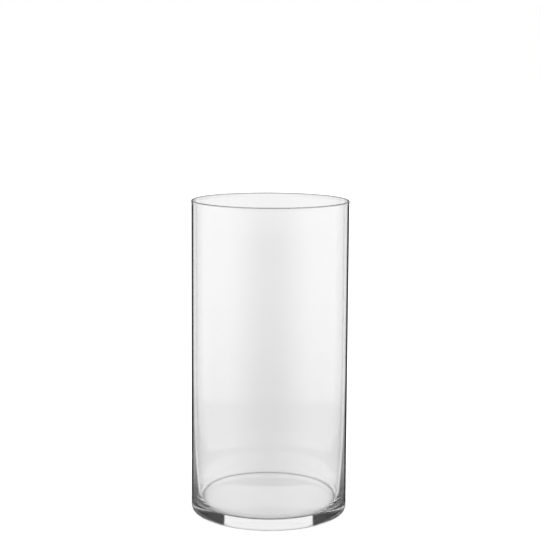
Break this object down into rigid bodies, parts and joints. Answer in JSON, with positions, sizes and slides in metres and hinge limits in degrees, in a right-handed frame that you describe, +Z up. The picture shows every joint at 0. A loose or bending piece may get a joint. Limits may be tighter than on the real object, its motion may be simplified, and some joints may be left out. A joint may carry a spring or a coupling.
{
  "type": "glass cylinder vase",
  "caption": "Straight-sided clear glass cylinder vase with a thin fire-polished lip, a wall that thickens towards the foot and a thick flat base.",
  "frame": {"origin": "centre of the standing face, on the vase's axis", "axes": "+Z up along the axis of revolution, from the standing face to the mouth; X and Y are alike, because the vase is round"},
  "size_m": [0.1504, 0.1504, 0.3],
  "materials": {
    "clear_glass": "clear soda-lime glass, blown and fire polished, glossy"
  },
  "bodies": {
    "root": {"lip": "clear_glass", "sidewall": "clear_glass", "heel_ring": "clear_glass", "base_disc": "clear_glass"}
  },
  "joints": []
}
